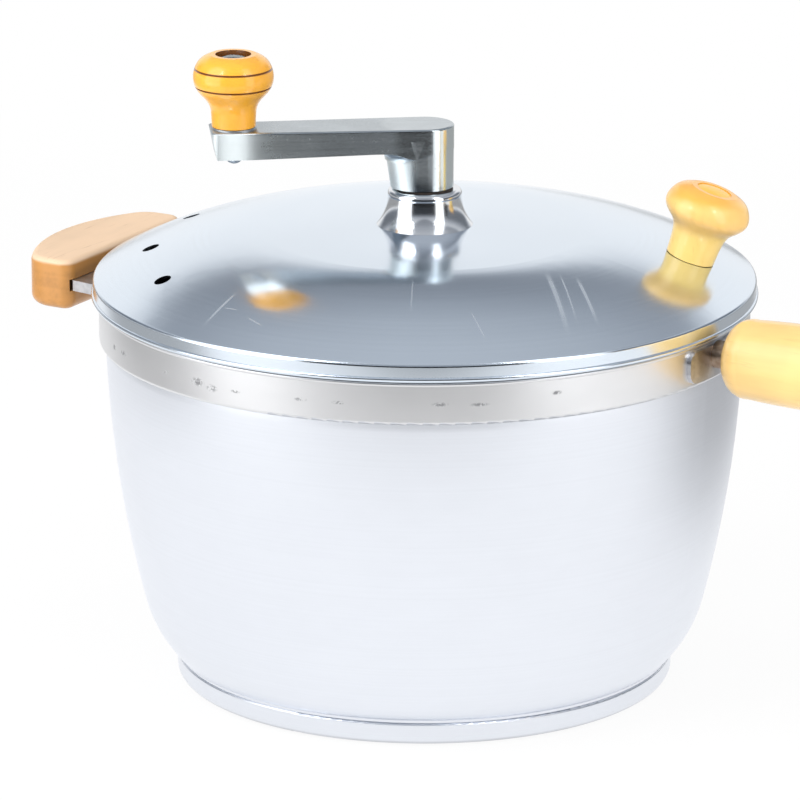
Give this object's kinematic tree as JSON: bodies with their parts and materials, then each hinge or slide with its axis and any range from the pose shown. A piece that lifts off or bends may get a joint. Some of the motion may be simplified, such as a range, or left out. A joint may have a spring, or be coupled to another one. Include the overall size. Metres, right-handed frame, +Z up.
{
  "type": "stovetop popcorn popper",
  "caption": "Tapered metal pot with a wooden long handle and side grip, a lift-off domed lid, and a hand crank on the lid that turns a wire stirrer over the pot's floor.",
  "frame": {"origin": "middle of the flat underside of the base disc, on the stove", "axes": "+Z up along the pot's axis and the drive shaft, +X out along the long handle, -X towards the side grip"},
  "size_m": [0.4318, 0.241, 0.2322],
  "materials": {
    "pot_steel": "satin drawn sheet",
    "base_metal": "satin, thick heat-spreading disc",
    "band_steel": "bright satin",
    "lid_metal": "polished drawn sheet",
    "bracket_steel": "plated steel",
    "polished_chrome": "polished",
    "cast_metal": "cast and satin finished",
    "brass_bush": "turned",
    "fastener_steel": "zinc plated",
    "fibre_washer": "dull",
    "handle_wood": "lacquered, pale",
    "grip_wood": "oiled, matt top",
    "knob_wood": "lacquered, golden",
    "plug_wood": "pale"
  },
  "bodies": {
    "pot": {"base_disc": "base_metal", "pot_shell": "pot_steel", "rim_band": "band_steel", "handle_saddle": "bracket_steel", "handle_ferrule": "bracket_steel", "long_handle": "handle_wood", "handle_washer": "fastener_steel", "handle_bolt": "fastener_steel", "side_plate": "bracket_steel", "side_grip": "grip_wood", "side_grip_screws": "fastener_steel"},
    "lid": {"lid_dome": "lid_metal", "hub_bell": "polished_chrome", "hub_bush": "brass_bush", "hub_washer": "fastener_steel", "hub_nut": "fastener_steel", "thrust_washer": "fibre_washer", "lid_knob": "knob_wood", "lid_knob_plug": "plug_wood", "lid_knob_screw": "fastener_steel", "lid_knob_washer": "fastener_steel"},
    "crank": {"crank_arm": "cast_metal", "crank_screw": "fastener_steel", "drive_shaft": "fastener_steel", "shaft_collar": "fastener_steel", "collar_screw": "fastener_steel", "stirrer_hub": "cast_metal", "stirrer_screw": "fastener_steel", "stirrer_wire_long": "fastener_steel", "stirrer_wire_short": "fastener_steel", "knob_spindle": "fastener_steel", "knob_washer": "fibre_washer"},
    "knob": {"crank_knob": "knob_wood"}
  },
  "joints": [
    {"name": "lid_lift", "type": "slide", "parent": "pot", "child": "lid", "axis": [0, 0, 1], "range_m": [0, 0.16]},
    {"name": "crank_turn", "type": "hinge", "parent": "lid", "child": "crank", "pos_m": [0, 0, 0.181], "axis": [0, 0, 1], "continuous": true},
    {"name": "knob_spin", "type": "hinge", "parent": "crank", "child": "knob", "pos_m": [-0.05566, -0.04044, 0.22], "axis": [0, 0, 1], "continuous": true}
  ]
}
